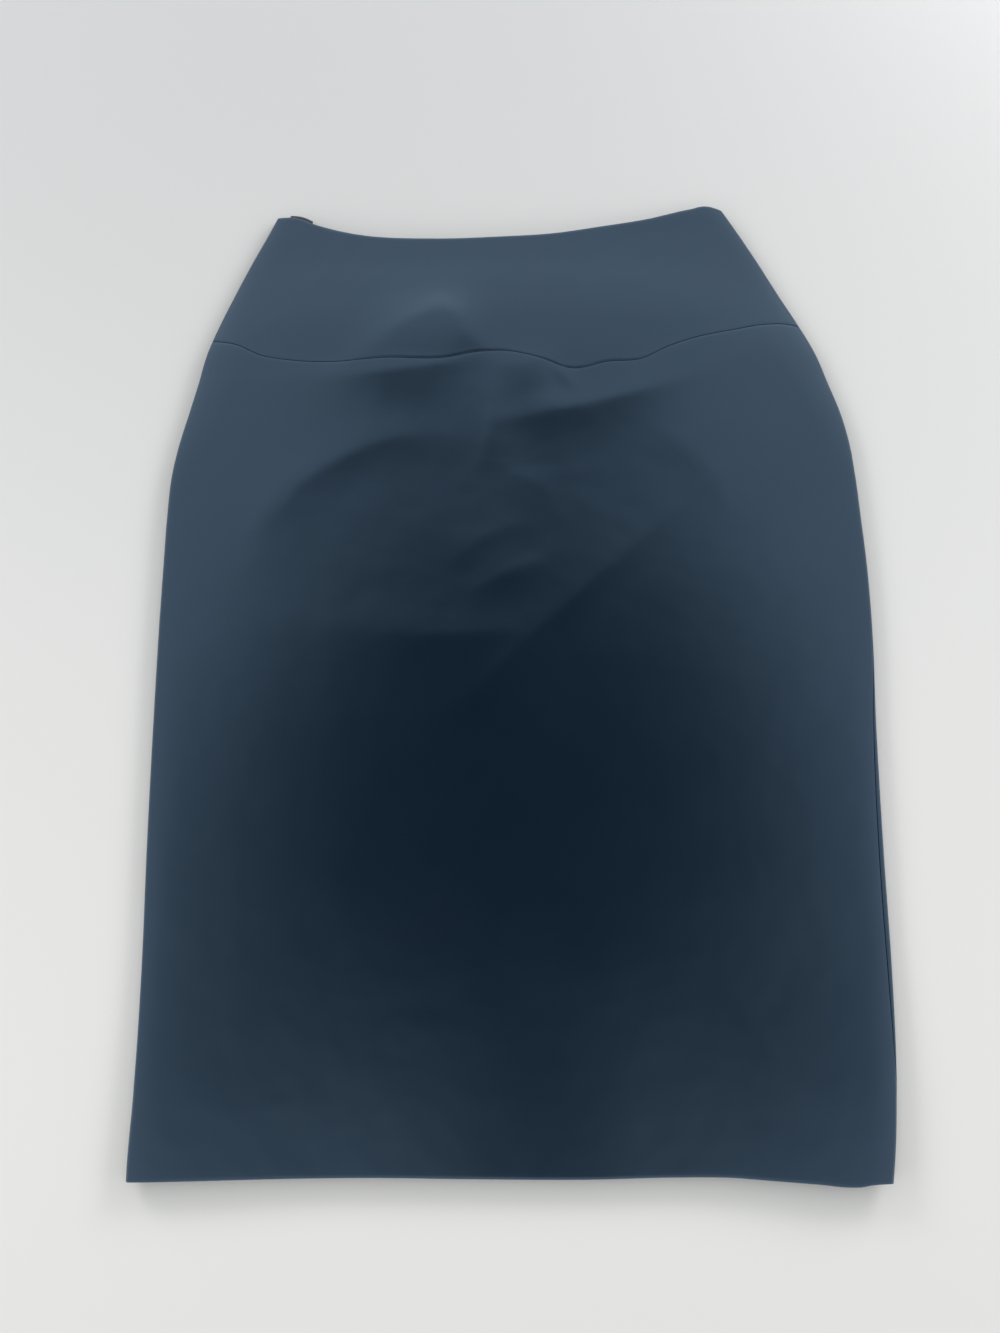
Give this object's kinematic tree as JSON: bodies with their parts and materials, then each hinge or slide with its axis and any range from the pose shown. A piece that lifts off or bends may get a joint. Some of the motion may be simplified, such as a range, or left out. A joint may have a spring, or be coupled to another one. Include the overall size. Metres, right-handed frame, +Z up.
{
  "type": "pencil skirt laid flat",
  "caption": "Plain navy pencil skirt laid flat: contoured hip yoke over a straight lower panel, front and back, with a turned hem and a concealed side zip.",
  "frame": {"origin": "on the table under the middle of the skirt: the centre of the base of its bounding box", "axes": "+X to the right seen from above, +Y from the hem to the waist, +Z up off the table"},
  "size_m": [0.482, 0.6563, 0.0222],
  "materials": {
    "suiting": "smooth woven navy suiting crepe with a low sheen",
    "zip_tape": "dark woven zip tape",
    "zip_metal": "dark enamelled slider"
  },
  "bodies": {
    "root": {"front_yoke": "suiting", "front_panel": "suiting", "back_yoke": "suiting", "back_panel": "suiting", "side_zip_tape": "zip_tape", "zip_slider": "zip_metal"}
  },
  "joints": []
}
